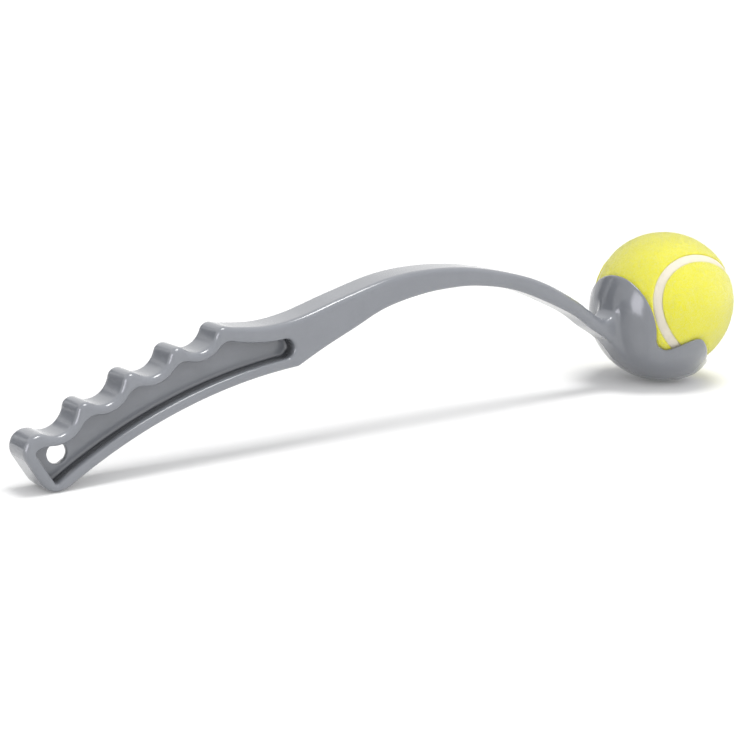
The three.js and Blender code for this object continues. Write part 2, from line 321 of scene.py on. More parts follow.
class OutlinePen:
    """Collects a closed side-view outline, drawn clockwise, and extrudes it to a solid."""

    def __init__(self, name: str, start: Point, origin: Vector) -> None:
        """Puts the pen down.

        Args:
            name: Name of the piece that is drawn.
            start: Where the outline starts.
            origin: The place of the side view's zero point.
        """
        self.name = name
        self.origin = origin
        self.points = [start]

    def line(self, end: Point) -> None:
        """Draws a straight line to a point."""
        if abs(end - self.points[-1]) > SHORTEST_EDGE:
            self.points.append(end)

    def arc(self, centre: Point, radius: float, start: float, end: float, clockwise: bool) -> None:
        """Draws an arc, with a line to its start where the pen isn't there yet.

        Args:
            centre: Centre of the arc.
            radius: Radius of the arc.
            start: Direction from the centre at which it starts.
            end: Direction from the centre at which it ends.
            clockwise: Which way it turns.
        """
        sweep = -((start - end) % math.tau) if clockwise else (end - start) % math.tau
        steps = math.ceil(max(abs(sweep) / ARC_STEP, abs(sweep) * radius / ARC_LENGTH_STEP))
        for k in range(steps + 1):
            self.line(centre + ray(start + sweep * k / steps, radius))

    def curve(self, points: list[Point]) -> None:
        """Draws a smooth curve from the pen through points.

        Args:
            points: The points that it passes, the last one its end.
        """
        knots = [self.points[-1], *points]
        for i in range(len(knots) - 1):
            one, two = knots[i], knots[i + 1]
            before = knots[max(i - 1, 0)]
            after = knots[min(i + 2, len(knots) - 1)]
            out, into = (two - before) / 2, (after - one) / 2
            for k in range(1, CURVE_STEPS + 1):
                t = k / CURVE_STEPS
                self.line((2 * one - 2 * two + out + into) * t**3
                          + (3 * two - 3 * one - 2 * out - into) * t**2 + out * t + one)

    def bow(self, control: Point, end: Point) -> None:
        """Draws a curve to a point, drawn towards one control point.

        Args:
            control: The point that pulls the curve.
            end: Where the curve ends.
        """
        start = self.points[-1]
        for k in range(1, CURVE_STEPS + 1):
            t = k / CURVE_STEPS
            self.line((1 - t)**2 * start + 2 * t * (1 - t) * control + t**2 * end)

    def grown(self, distance: float) -> list[Point]:
        """Moves the outline outwards, square to its edges.

        Args:
            distance: How far the edges move.

        Returns:
            The moved points.
        """
        points = self.points
        if abs(points[-1] - points[0]) < SHORTEST_EDGE:
            points = points[:-1]
        moved = []
        befores, afters = points[-1:] + points[:-1], points[1:] + points[:1]
        for before, point, after in zip(befores, points, afters):
            one = 1j * (point - before) / abs(point - before)
            two = 1j * (after - point) / abs(after - point)
            moved.append(point + distance * 2 * (one + two) / abs(one + two)**2)
        return moved

    def extrude(self, start: float, end: float, grow: float = 0.0) -> Piece:
        """Draws the outline with extruded edges, fills it and extrudes it across the handle.

        Args:
            start: Y at which the solid starts.
            end: Y at which the solid ends.
            grow: How far the outline is moved outwards first.

        Returns:
            The closed solid, with its faces pointing outwards.
        """
        points = self.grown(grow)
        first = self.origin + Vector((points[0].real, start, points[0].imag))
        piece = added(bpy.ops.mesh.primitive_plane_add, size=ARC_LENGTH_STEP, location=first)
        piece.name = self.name
        settle()
        bpy.ops.object.mode_set(mode="EDIT")
        bpy.ops.mesh.select_mode(type="VERT")
        bpy.ops.mesh.select_all(action="SELECT")
        bpy.ops.mesh.merge(type="CENTER")
        for here, there in zip(points, points[1:]):
            step = there - here
            pull(Vector((step.real, 0, step.imag)))
        bpy.ops.mesh.select_all(action="SELECT")
        bpy.ops.mesh.edge_face_add()
        pull(Vector((0, end - start, 0)))
        bpy.ops.mesh.select_all(action="SELECT")
        bpy.ops.mesh.normals_make_consistent(inside=False)
        bpy.ops.object.mode_set(mode="OBJECT")
        return piece


def new_node(tree: Tree, kind: str, inputs: dict[str | int, Any] | None = None,
             **settings: Any) -> bpy.types.Node:
    """Adds a node, sets it and fills its inputs.

    Args:
        tree: The node tree.
        kind: Blender's name for the type of node.
        inputs: A value for each input by name or number, or the socket that feeds it.
        **settings: The node's properties by name.

    Returns:
        The new node.
    """
    node = tree.nodes.new(kind)
    for name, value in settings.items():
        setattr(node, name, value)
    for key, value in (inputs or {}).items():
        if isinstance(value, Socket):
            tree.links.new(value, node.inputs[key])
        else:
            node.inputs[key].default_value = value
    return node


def blank_tree(owner: bpy.types.Material | bpy.types.World) -> Tree:
    """Gives a material or world an empty node tree.

    Args:
        owner: The material or world.

    Returns:
        The tree.
    """
    owner.use_nodes = True
    owner.node_tree.nodes.clear()
    return owner.node_tree


def speckle_group(detail: float = 4.0, roughness: float = 0.6,
                  spread: tuple[float, float] = (0.3, 0.7)) -> Tree:
    """Builds or finds the group that makes broad patches and a fine grain over a surface.

    Args:
        detail: How many finer layers the noise has.
        roughness: How strong each finer layer is.
        spread: The noise levels that become 0 and 1.

    Returns:
        The node group, with the outputs Patches and Grain from 0 to 1.
    """
    found = bpy.data.node_groups.get("speckle")
    if found:
        return found
    group = bpy.data.node_groups.new("speckle", "ShaderNodeTree")
    for name, kind in (("Vector", "NodeSocketVector"), ("Patch scale", "NodeSocketFloat"),
                       ("Grain scale", "NodeSocketFloat"), ("Swirl", "NodeSocketFloat")):
        group.interface.new_socket(name, in_out="INPUT", socket_type=kind)
    for name in ("Patches", "Grain"):
        group.interface.new_socket(name, in_out="OUTPUT", socket_type="NodeSocketFloat")
    given = new_node(group, "NodeGroupInput").outputs
    result = new_node(group, "NodeGroupOutput")
    for name, scale in (("Patches", "Patch scale"), ("Grain", "Grain scale")):
        texture = new_node(group, "ShaderNodeTexNoise", {
            "Vector": given["Vector"], "Scale": given[scale], "Distortion": given["Swirl"],
            "Detail": detail, "Roughness": roughness})
        level = new_node(group, "ShaderNodeMapRange", {
            "Value": texture.outputs[0], "From Min": spread[0], "From Max": spread[1]})
        group.links.new(level.outputs[0], result.inputs[name])
    return group


@dataclass(frozen=True)
class Finish:
    """A surface finish: two shades that drift into each other, and a fine grain.

    The patches blend the shades, and the grain moves the roughness and the bump. With a share of
    painted shade, the marked walls of the pockets are painted darker by up to that share, as shade
    in the pockets. This painted shade comes in between the two distances of the rim and floor
    settings from the middle plane.
    """

    name: str
    slot: Slot
    light: Colour
    deep: Colour
    patch_scale: float
    grain_scale: float
    swirl: float
    grain_share: float
    smooth_roughness: float
    rough_roughness: float
    bump_strength: float
    bump_distance: float
    sheen: float = 0.0
    sheen_roughness: float = 0.5
    sheen_tint: Colour = WHITE
    coat: float = 0.0
    coat_roughness: float = 0.2
    specular: float = 0.5
    # Painted shade in the pockets: its share, and the distances from the middle plane where it
    # starts and is full.
    painted_shade_share: float = 0.0
    painted_shade_rim: tuple[float, float] = (0.0072, 0.0045)
    painted_shade_floor: tuple[float, float] = (0.0011, 0.002)

    def material(self) -> bpy.types.Material:
        """Builds the finish's material, or finds it if it is there.

        Returns:
            The material.
        """
        found = bpy.data.materials.get(self.name)
        if found:
            return found
        material = bpy.data.materials.new(self.name)
        tree = blank_tree(material)
        place = new_node(tree, "ShaderNodeTexCoord").outputs["Object"]
        speckle = new_node(tree, "ShaderNodeGroup", node_tree=speckle_group())
        tree.links.new(place, speckle.inputs["Vector"])
        speckle.inputs["Patch scale"].default_value = self.patch_scale
        speckle.inputs["Grain scale"].default_value = self.grain_scale
        speckle.inputs["Swirl"].default_value = self.swirl
        patches, grain = speckle.outputs["Patches"], speckle.outputs["Grain"]
        blend = new_node(tree, "ShaderNodeMix", {0: self.grain_share, 2: patches, 3: grain})
        shade = new_node(tree, "ShaderNodeMix", {0: blend.outputs[0], 6: self.deep, 7: self.light},
                         data_type="RGBA")
        # Painted shade: the marked walls of the pockets are mixed towards black.
        if self.painted_shade_share:
            dark = self.painted_shade_amount(tree, place)
            shade = new_node(tree, "ShaderNodeMix", {
                0: dark, 6: shade.outputs[2], 7: linear(0, 0, 0)}, data_type="RGBA")
        rough = new_node(tree, "ShaderNodeMapRange", {
            "Value": grain, "To Min": self.smooth_roughness, "To Max": self.rough_roughness})
        bump = new_node(tree, "ShaderNodeBump", {
            "Strength": self.bump_strength, "Distance": self.bump_distance, "Height": grain})
        shader = new_node(tree, "ShaderNodeBsdfPrincipled", {
            "Base Color": shade.outputs[2], "Roughness": rough.outputs[0],
            "Normal": bump.outputs[0], "Specular IOR Level": self.specular,
            "Sheen Weight": self.sheen, "Sheen Roughness": self.sheen_roughness,
            "Sheen Tint": self.sheen_tint, "Coat Weight": self.coat,
            "Coat Roughness": self.coat_roughness})
        new_node(tree, "ShaderNodeOutputMaterial", {"Surface": shader.outputs[0]})
        return material

    def painted_shade_amount(self, tree: Tree, place: Socket) -> Socket:
        """Adds the nodes that find the walls inside a pocket, where shade is painted into the
        plastic's colour.

        Args:
            tree: The material's node tree.
            place: The socket with the place on the piece.

        Returns:
            The socket with the share of painted shade.
        """
        mark = new_node(tree, "ShaderNodeAttribute", attribute_name=PAINTED_SHADE_MARK)
        apart = new_node(tree, "ShaderNodeSeparateXYZ", {0: place})
        beside_middle = new_node(tree, "ShaderNodeMath", {0: apart.outputs["Y"]},
                                 operation="ABSOLUTE")
        amount = mark.outputs["Fac"]
        for none, full in (self.painted_shade_rim, self.painted_shade_floor):
            share = new_node(tree, "ShaderNodeMapRange", {
                "Value": beside_middle.outputs[0], "From Min": none, "From Max": full,
                "To Max": math.sqrt(self.painted_shade_share)})
            amount = new_node(tree, "ShaderNodeMath", {0: amount, 1: share.outputs[0]},
                              operation="MULTIPLY").outputs[0]
        return amount


# The plastic gets painted shade in its pockets, up to three quarters of the way to black.
GLOSSY_PLASTIC = Finish(
    name="glossy_plastic", slot=Slot.PLASTIC,
    light=linear(127, 130, 136), deep=linear(119, 122, 128),
    patch_scale=45, grain_scale=2600, swirl=0.4, grain_share=0.3,
    smooth_roughness=0.17, rough_roughness=0.24, bump_strength=0.05, bump_distance=0.00003,
    coat=0.7, coat_roughness=0.18, specular=0.5, painted_shade_share=0.75)
FELT = Finish(
    name="felt", slot=Slot.FELT, light=linear(236, 233, 100), deep=linear(232, 226, 14),
    patch_scale=420, grain_scale=4200, swirl=1.4, grain_share=0.45,
    smooth_roughness=0.88, rough_roughness=1.0, bump_strength=0.5, bump_distance=0.0003,
    sheen=1.0, sheen_roughness=0.4, sheen_tint=linear(255, 254, 225), specular=0.15)
# A paler copy of the felt for the nap fibres: painted sheen, standing in for the light that the
# fibres catch.
FELT_PAINTED_SHEEN = replace(FELT, name="felt_painted_sheen", light=linear(246, 246, 205), deep=linear(240, 238, 130))
SEAM_RUBBER = Finish(
    name="seam_rubber", slot=Slot.SEAM, light=linear(226, 219, 203), deep=linear(214, 206, 188),
    patch_scale=260, grain_scale=2400, swirl=0.6, grain_share=0.4,
    smooth_roughness=0.5, rough_roughness=0.68, bump_strength=0.25, bump_distance=0.0001)
CORE_RUBBER = Finish(
    name="core_rubber", slot=Slot.CORE, light=linear(84, 80, 76), deep=linear(66, 62, 59),
    patch_scale=120, grain_scale=1800, swirl=0.3, grain_share=0.4,
    smooth_roughness=0.7, rough_roughness=0.86, bump_strength=0.2, bump_distance=0.0001)


def dress(piece: Piece, finish: Finish) -> None:
    """Gives a piece one finish all over and smooth shading.

    Args:
        piece: The object that is dressed.
        finish: Its finish.
    """
    piece.data.materials.clear()
    piece.data.materials.append(finish.material())
    activate(piece)
    bpy.ops.object.shade_smooth()


def seat_of_ball() -> Vector:
    """Finds the ball's centre, the middle of the box round the two halves of its core.

    Returns:
        The centre.
    """
    low_a, high_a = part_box("ball_core_half_a")
    low_b, high_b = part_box("ball_core_half_b")
    low = [min(a, b) for a, b in zip(low_a, low_b)]
    high = [max(a, b) for a, b in zip(high_a, high_b)]
    return (Vector(low) + Vector(high)) / 2


@dataclass(frozen=True)
class Seat:
    """Where the ball sits, and the radii of ball and cup that follow from it."""

    centre: Vector
    ball_radius: float = 0.0325
    clearance: float = 0.00035
    cup_wall: float = 0.00215
    floor_drop: float = 0.0023

    @property
    def inner(self) -> float:
        """Inner radius of the cup."""
        return self.ball_radius + self.clearance

    @property
    def outer(self) -> float:
        """Outer radius of the cup at its equator."""
        return self.inner + self.cup_wall

    @property
    def height(self) -> float:
        """Height of the ball's centre above the surface that the thrower stands on."""
        return self.outer + self.floor_drop

    @property
    def ground(self) -> Vector:
        """The point of that surface under the ball's centre, the side view's zero point."""
        return Vector((self.centre.x, 0, self.centre.z - self.height))


@dataclass
class Handle:
    """The finger-grip handle with its pockets, and the arched arm that grows out of it."""

    seat: Seat
    width: float = 0.0164
    edge_radius: float = 0.0024
    tail_crest_reach: float = 0.3224
    tail_crest_radius: float = 0.0065
    tail_face_slope: float = math.radians(58.5)
    tail_face_length: float = 0.0104
    heel_round_in: float = 0.0082
    heel_round_out: float = 0.0086
    heel_slope: float = math.radians(26.9)
    lower_edge_radius: float = 0.2243
    first_pitch: float = 0.0228
    first_slope: float = math.radians(31.5)
    crest_count: int = 5
    crest_pitch: float = 0.0214
    crest_slope: float = math.radians(24.2)
    crest_turn: float = math.radians(4.3)
    crest_radius: float = 0.004
    groove_radius: float = 0.009
    web_thickness: float = 0.0024
    groove_wall: float = 0.0038
    lower_wall: float = 0.0046
    end_wall: float = 0.0044
    pocket_peak_radius: float = 0.007
    slot_turn: float = math.radians(66)
    slot_radius: float = 0.004
    slot_run: float = 0.0278
    slot_ease: float = 0.0088
    slot_sag: float = 0.0012
    hole_radius: float = 0.0041
    hole_along: float = 0.0094
    hole_below: float = 0.0034
    hole_steps: int = 72
    arch_height: float = 0.0673
    cup_end_width: float = 0.013
    taper_start_share: float = 0.45
    flare_radius: float = 0.006
    root_top_share: float = 0.5
    root_foot_share: float = 0.33
    root_depth: float = 0.0008
    root_rings: int = 48
    rim_round: float = 0.0014
    floor_round: float = 0.00025
    overrun: float = 0.005
    round_steps: int = 6
    # Shares of the arm's span and of the arch's height, to the cup on top and back underneath.
    arm_top_shares: tuple[tuple[float, float], ...] = (
        (0.033, 0.793), (0.1, 0.78), (0.172, 0.81), (0.269, 0.893), (0.384, 0.978), (0.49, 1.0),
        (0.6, 0.974), (0.72, 0.892), (0.803, 0.8), (0.882, 0.671), (0.913, 0.607))
    arm_under_shares: tuple[tuple[float, float], ...] = (
        (1.043, 0.168), (0.986, 0.348), (0.932, 0.456), (0.865, 0.59), (0.726, 0.776),
        (0.613, 0.851), (0.522, 0.86), (0.447, 0.838), (0.369, 0.785), (0.297, 0.691),
        (0.226, 0.598), (0.165, 0.507))
    crests: list[Point] = field(init=False)
    grooves: list[Point] = field(init=False)

    def __post_init__(self) -> None:
        """Works out the side view's places from the sizes."""
        face_top = ray(-self.tail_face_slope - math.pi / 2, self.tail_crest_radius)
        heel_top = face_top + ray(-self.tail_face_slope, self.tail_face_length)
        heel = heel_top + ray(-self.tail_face_slope, self.heel_round_in)
        heel_back = heel + ray(self.heel_slope, self.heel_round_out)
        top, middle, back = heel_top.imag, heel.imag, heel_back.imag
        lowest = (top * back - middle**2) / (top - 2 * middle + back)
        tail = complex(-self.tail_crest_reach, -lowest)
        self.tail_face_top = tail + face_top
        self.heel_top = tail + heel_top
        self.heel_point = tail + heel
        self.heel_back = tail + heel_back
        self.crests = [tail, tail + ray(self.first_slope, self.first_pitch)]
        for k in range(1, self.crest_count):
            slope = self.crest_slope - (k - 1) * self.crest_turn
            self.crests.append(self.crests[k] + ray(slope, self.crest_pitch))
        radii = [self.tail_crest_radius] + [self.crest_radius] * self.crest_count
        reach = [radius + self.groove_radius for radius in radii]
        self.grooves = [beside(self.crests[k + 1], reach[k + 1], self.crests[k], reach[k])
                        for k in range(self.crest_count)]
        self.arm_top = [self.arm_point(*shares) for shares in self.arm_top_shares]
        under = [self.arm_point(*shares) for shares in self.arm_under_shares]
        self.arm_root, *self.arm_under = under
        self.lower_edge_centre = beside(self.heel_back, self.lower_edge_radius,
                                        self.arm_under[-1], self.lower_edge_radius)

    @property
    def last_crest(self) -> Point:
        """The crest from which the arm runs on."""
        return self.crests[self.crest_count - 1]

    @property
    def arm_span(self) -> float:
        """Length of the arm along the handle, from the last crest to the cup."""
        return -self.seat.outer - self.last_crest.real

    def arm_point(self, along_share: float, height_share: float) -> Point:
        """Returns the side-view point at shares of the arm's span and the arch's height."""
        return complex(self.last_crest.real + along_share * self.arm_span,
                       height_share * self.arch_height)

    def draw_body(self) -> OutlinePen:
        """Draws the side outline of handle and arm, clockwise from the heel of the tail.

        Returns:
            The pen, back where it started.
        """
        pen = OutlinePen("handle_body", self.heel_top, self.seat.ground)
        tail, last = self.crests[0], self.crest_count - 1
        pen.arc(tail, self.tail_crest_radius, angle_of(tail, self.tail_face_top),
                angle_of(tail, self.grooves[0]), True)
        for k in range(last):
            groove, crest = self.grooves[k], self.crests[k + 1]
            pen.arc(groove, self.groove_radius, angle_of(groove, self.crests[k]),
                    angle_of(groove, crest), False)
            leave = angle_of(crest, self.grooves[k + 1])
            if k + 1 == last:
                way = self.arm_top[0] - crest
                leave = cmath.phase(way) + math.acos(self.crest_radius / abs(way))
            pen.arc(crest, self.crest_radius, angle_of(crest, groove), leave, True)
        pen.curve(self.arm_top)
        slope = angle_of(*self.arm_top[-2:])
        shoulder = self.arm_top[-1]
        flare_x = -self.seat.outer - self.flare_radius
        flare_y = (shoulder.imag + math.tan(slope) * (flare_x - shoulder.real)
                   + self.flare_radius / math.cos(slope))
        pen.arc(complex(flare_x, flare_y), self.flare_radius, slope - math.pi / 2, 0, False)
        pen.line(complex(-self.seat.outer * self.root_top_share, flare_y))
        pen.line(complex(-self.seat.outer * self.root_foot_share, self.arm_root.imag))
        pen.line(self.arm_root)
        pen.curve(self.arm_under)
        centre = self.lower_edge_centre
        pen.arc(centre, self.lower_edge_radius, angle_of(centre, self.arm_under[-1]),
                angle_of(centre, self.heel_back), False)
        pen.bow(self.heel_point, self.heel_top)
        return pen

    def draw_pocket(self) -> OutlinePen:
        """Draws the pocket's outline, the body's outline drawn in by its walls.

        Returns:
            The pen, back where it started.
        """
        ceiling = self.groove_radius + self.groove_wall
        floor = self.lower_edge_radius + self.lower_wall
        centre = self.lower_edge_centre
        slot_x = self.last_crest.real + self.slot_run
        slot_rise = math.sqrt((floor + self.slot_radius)**2 - (slot_x - centre.real)**2)
        slot = complex(slot_x, centre.imag + slot_rise)
        inward = ray(math.pi / 2 - self.tail_face_slope, self.end_wall)
        wall_top, wall_low = self.tail_face_top + inward, self.heel_top + inward
        corner = wall_low + ray(-self.tail_face_slope, abs(wall_low - centre) - floor)
        first = self.grooves[0]
        angle = angle_of(first, wall_top) + math.asin(self.end_wall / ceiling)
        start = first + ray(angle, ceiling)
        pen = OutlinePen("pocket_cutter", corner, self.seat.ground)
        pen.line(wall_top)
        pen.bow(complex(wall_top.real, start.imag), start)
        reach = ceiling + self.pocket_peak_radius
        for k in range(self.crest_count - 1):
            groove, after = self.grooves[k], self.grooves[k + 1]
            peak = beside(groove, reach, after, reach)
            leave = self.slot_turn if k == self.crest_count - 2 else angle_of(peak, after)
            pen.arc(groove, ceiling, angle, angle_of(groove, peak), False)
            pen.arc(peak, self.pocket_peak_radius, angle_of(peak, groove), leave, True)
            angle = angle_of(after, peak)
        slot_top = slot.imag + self.slot_radius
        pen.bow(complex(slot_x - self.slot_ease, slot_top - self.slot_sag),
                complex(slot_x, slot_top))
        pen.arc(slot, self.slot_radius, math.pi / 2, angle_of(slot, centre), True)
        pen.arc(centre, floor, angle_of(centre, slot), angle_of(centre, corner), False)
        return pen

    def narrowed(self, place: Vector) -> Vector:
        """Draws a vertex in sideways where the arm narrows towards the cup.

        Args:
            place: The vertex's old place.

        Returns:
            Its new place.
        """
        along = place.x - self.seat.centre.x
        start = self.last_crest.real + self.taper_start_share * self.arm_span
        share = smoothstep(start, -self.seat.outer, along)
        across = 1 + share * (self.cup_end_width / self.width - 1)
        return Vector((place.x, place.y * across, place.z))

    def body(self) -> Piece:
        """Models handle and arm as one solid with rounded edges.

        Returns:
            The solid, still without its pockets.
        """
        inset = self.width / 2 - self.edge_radius
        body = self.draw_body().extrude(-inset, inset)
        for side in Side:
            select_face(body, Vector((0, side.value, 0)))
            round_over(self.edge_radius, self.round_steps)
            bpy.ops.object.mode_set(mode="OBJECT")
        reshape(body, self.narrowed)
        apply_modifier(body, "TRIANGULATE")
        return body

    def pocket_cutter(self, side: Side) -> Piece:
        """Models the solid that cuts one pocket, with a flared rim and a rounded floor edge.

        Args:
            side: The side of the handle that the pocket opens to.

        Returns:
            The cutter.
        """
        face = side.value * self.width / 2
        cutter = self.draw_pocket().extrude(face + side.value * self.overrun, face, self.rim_round)
        inwards = Vector((0, -side.value, 0))
        select_face(cutter, inwards)
        round_over(self.rim_round, self.round_steps, hollow=True)
        deep = (self.width - self.web_thickness) / 2 - self.rim_round - self.floor_round
        pull(inwards * deep)
        round_over(self.floor_round, self.round_steps)
        bpy.ops.object.mode_set(mode="OBJECT")
        return cutter

    def hole_cutter(self) -> Piece:
        """Models the drill for the hanging hole through the web.

        Returns:
            The cutter.
        """
        place = self.crests[0] + complex(self.hole_along, -self.hole_below)
        drill = added(
            bpy.ops.mesh.primitive_cylinder_add, vertices=self.hole_steps, radius=self.hole_radius,
            depth=2 * self.overrun, rotation=(math.pi / 2, 0, 0),
            location=self.seat.ground + Vector((place.real, 0, place.imag)))
        settle()
        return drill

    def ball_room(self) -> Piece:
        """Models the ball that the arm's root is cut back from.

        Returns:
            The cutter.
        """
        room = added(
            bpy.ops.mesh.primitive_uv_sphere_add, segments=2 * self.root_rings,
            ring_count=self.root_rings, radius=self.seat.inner + self.root_depth,
            location=self.seat.centre)
        settle()
        return room


@dataclass
class Cup:
    """The claw that holds the ball: a tongue behind it, dipped sides and a slanted mouth."""

    seat: Seat
    lip_wall: float = 0.0012
    lip_taper: float = math.radians(16)
    tongue_angle: float = math.radians(40)
    tongue_tilt: float = math.radians(192.8)
    side_dip_angle: float = math.radians(66.4)
    mouth_angle: float = math.radians(73.7)
    mouth_tilt: float = math.radians(228)
    pole_tilt: float = math.radians(243)
    corner_blend: float = math.radians(7)
    lip_share: float = 0.04
    # Each wave's height, its place beside the middle plane and its width.
    rim_waves: tuple[tuple[float, float, float], ...] = (
        (math.radians(-7.5), math.radians(68), math.radians(11)),
        (math.radians(5), math.radians(89), math.radians(10)),
        (math.radians(-6.8), math.radians(122), math.radians(21)))
    sectors: int = 180
    rings: int = 96

    @staticmethod
    def in_plane(angle: float) -> Vector:
        """Returns the direction in the middle plane at an angle from the throwing direction."""
        return Vector((math.cos(angle), 0, math.sin(angle)))

    def direction(self, polar: float, sector: float) -> Vector:
        """Finds a direction from the ball's centre.

        Args:
            polar: Its angle from the cup's pole.
            sector: Its turn round the pole.

        Returns:
            The direction.
        """
        forward = self.in_plane(self.pole_tilt - math.pi / 2)
        sideways = forward * math.cos(sector) + Vector((0, 1, 0)) * math.sin(sector)
        return self.in_plane(self.pole_tilt) * math.cos(polar) + sideways * math.sin(polar)

    def cone_edge(self, axis: Vector, half_angle: float, sector: float) -> float:
        """Finds where a sector leaves a cone.

        Args:
            axis: Axis of the cone.
            half_angle: Half of the cone's opening angle.
            sector: The sector round the cup's pole.

        Returns:
            The angle from the cup's pole, or zero where the sector is never in the cone.
        """
        along = self.in_plane(self.pole_tilt).dot(axis)
        across = self.direction(math.pi / 2, sector).dot(axis)
        reach = math.cos(half_angle) / math.hypot(along, across)
        return 0.0 if abs(reach) > 1 else math.atan2(across, along) + math.acos(reach)

    def rim(self, sector: float) -> float:
        """Finds the rim's angle from the cup's pole in a sector.

        Args:
            sector: The sector round the cup's pole.

        Returns:
            The angle.
        """
        blend = self.corner_blend
        sides = self.cone_edge(Vector((0, 0, -1)), self.side_dip_angle, sector)
        mouth = self.cone_edge(self.in_plane(self.mouth_tilt), self.mouth_angle, sector)
        tongue = self.cone_edge(self.in_plane(self.tongue_tilt), self.tongue_angle, sector)
        low = (sides + mouth - math.hypot(sides - mouth, blend)) / 2
        waves = sum(height * math.exp(-((abs(sector) - place) / width)**2)
                    for height, place, width in self.rim_waves)
        return (low + tongue + math.hypot(low - tongue, blend)) / 2 + waves

    def face(self, direction: Vector, from_rim: float) -> float:
        """Finds how far the cup's outer face is from the ball's centre.

        Args:
            direction: Direction from the ball's centre.
            from_rim: Angle to the rim.

        Returns:
            The distance.
        """
        seat = self.seat
        dip = seat.floor_drop * direction.z
        full = math.sqrt(seat.outer**2 - seat.floor_drop**2 + dip**2) - dip
        lip = seat.inner + self.lip_wall
        return lip + max(full - lip, 0) * smoothstep(-self.lip_taper / 2, self.lip_taper, from_rim)

    def wrapped(self, place: Vector) -> Vector:
        """Finds where a vertex of a whole ball goes when the ball is pressed into the cup's shape.

        The ball's upper part becomes the outer face, a narrow belt the rounded lip, and the lower
        part the inner face.

        Args:
            place: The vertex's place on the unit ball.

        Returns:
            Its new place.
        """
        turn = math.acos(max(-1.0, min(1.0, place.z / place.length))) / math.pi
        sector = math.atan2(place.y, place.x)
        rim = self.rim(sector)
        edge = self.face(self.direction(rim, sector), 0)
        half = (edge - self.seat.inner) / 2
        middle = (edge + self.seat.inner) / 2
        last = rim - half / middle
        share = (1 - self.lip_share) / 2
        if turn <= share:
            polar = last * turn / share
            direction = self.direction(polar, sector)
            radius = self.face(direction, rim - polar)
        elif turn >= 1 - share:
            direction = self.direction(last * (1 - turn) / share, sector)
            radius = self.seat.inner
        else:
            swing = math.pi * (turn - share) / self.lip_share
            direction = self.direction(last + half / middle * math.sin(swing), sector)
            radius = middle + half * math.cos(swing)
        return self.seat.centre + direction * radius

    def shell(self) -> Piece:
        """Models the claw as a closed shell.

        Returns:
            The shell.
        """
        shell = added(bpy.ops.mesh.primitive_uv_sphere_add, segments=self.sectors,
                      ring_count=self.rings, radius=1)
        reshape(shell, self.wrapped)
        weld(shell)
        return shell


@dataclass
class Thrower:
    """The one-piece moulding of handle, arm and cup."""

    handle: Handle
    cup: Cup
    finish: Finish = GLOSSY_PLASTIC
    voxel: float = 0.0004
    quick_voxel: float = 0.0009
    softening_share: float = 0.5
    edge_softening: int = 5
    joint_softening: int = 40
    joint_reach: float = 0.0045
    joint_half_width: float = 0.0115
    joint_top: float = math.radians(160)
    joint_foot: float = math.radians(242)
    triangles: int = 185000
    # How far from the pocket outline the painted shade is full and where it ends.
    painted_shade_reach: tuple[float, float] = (0.001, 0.0036)

    def near_joint(self, piece: Piece) -> np.ndarray:
        """Finds the vertices round the place where the arm flares into the cup.

        Args:
            piece: The moulding.

        Returns:
            One truth value for each vertex.
        """
        seat = self.cup.seat
        places = places_of(piece, seat.centre)
        length = np.linalg.norm(places, axis=1)
        dip = seat.floor_drop * places[:, 2] / length
        height = length - (np.sqrt(seat.outer**2 - seat.floor_drop**2 + dip**2) - dip)
        tilt = np.arctan2(places[:, 2], places[:, 0]) % math.tau
        beside_arm = np.abs(places[:, 1]) < self.joint_half_width
        in_height = (height > -seat.cup_wall / 2) & (height < self.joint_reach)
        return in_height & beside_arm & (tilt > self.joint_top) & (tilt < self.joint_foot)

    def mark_painted_shade(self, piece: Piece) -> None:
        """Marks the vertices on the walls of the pockets, where the finish paints shade.

        Args:
            piece: The moulding.
        """
        places = places_of(piece, self.handle.seat.ground)
        view = places[:, 0] + 1j * places[:, 2]
        outline = self.handle.draw_pocket().points
        gap = np.full(len(view), np.inf)
        for start, end in zip(outline, outline[1:] + outline[:1]):
            run = end - start
            if abs(run) > SAME_PLACE:
                along = np.clip(((view - start) / run).real, 0, 1)
                gap = np.minimum(gap, abs(view - start - along * run))
        mark = 1 - smoothstep(*self.painted_shade_reach, gap)
        layer = piece.data.attributes.new(PAINTED_SHADE_MARK, "FLOAT", "POINT")
        layer.data.foreach_set("value", mark.astype(np.float32))

    def soften(self, piece: Piece, chosen: np.ndarray, repeat: int) -> None:
        """Smooths the chosen part of a piece.

        Args:
            piece: The moulding.
            chosen: One truth value for each vertex.
            repeat: How many times it is smoothed.
        """
        select_points(piece, chosen)
        bpy.ops.mesh.vertices_smooth(factor=self.softening_share, repeat=repeat)
        bpy.ops.object.mode_set(mode="OBJECT")

    def build(self) -> Piece:
        """Models, joins and softens the moulding.

        Returns:
            The finished piece.
        """
        body = self.handle.body()
        cutters = [self.handle.pocket_cutter(side) for side in Side]
        cutters += [self.handle.hole_cutter(), self.handle.ball_room()]
        for cutter in cutters:
            combine(body, cutter, "DIFFERENCE")
        combine(body, self.cup.shell(), "UNION")
        voxel = self.voxel
        apply_modifier(body, "REMESH", mode="VOXEL", voxel_size=voxel, adaptivity=0.0)
        everywhere = np.ones(len(body.data.vertices), dtype=bool)
        self.soften(body, everywhere, self.edge_softening)
        self.soften(body, self.near_joint(body), self.joint_softening)
        ratio = min(self.triangles / (2 * len(body.data.polygons)), 1.0)
        apply_modifier(body, "DECIMATE", ratio=ratio)
        body.name = "thrower_moulding"
        # Marks where shade is painted in the pockets.
        self.mark_painted_shade(body)
        dress(body, self.finish)
        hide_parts("moulded_thrower")
        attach(body, Body.THROWER.value)
        return body


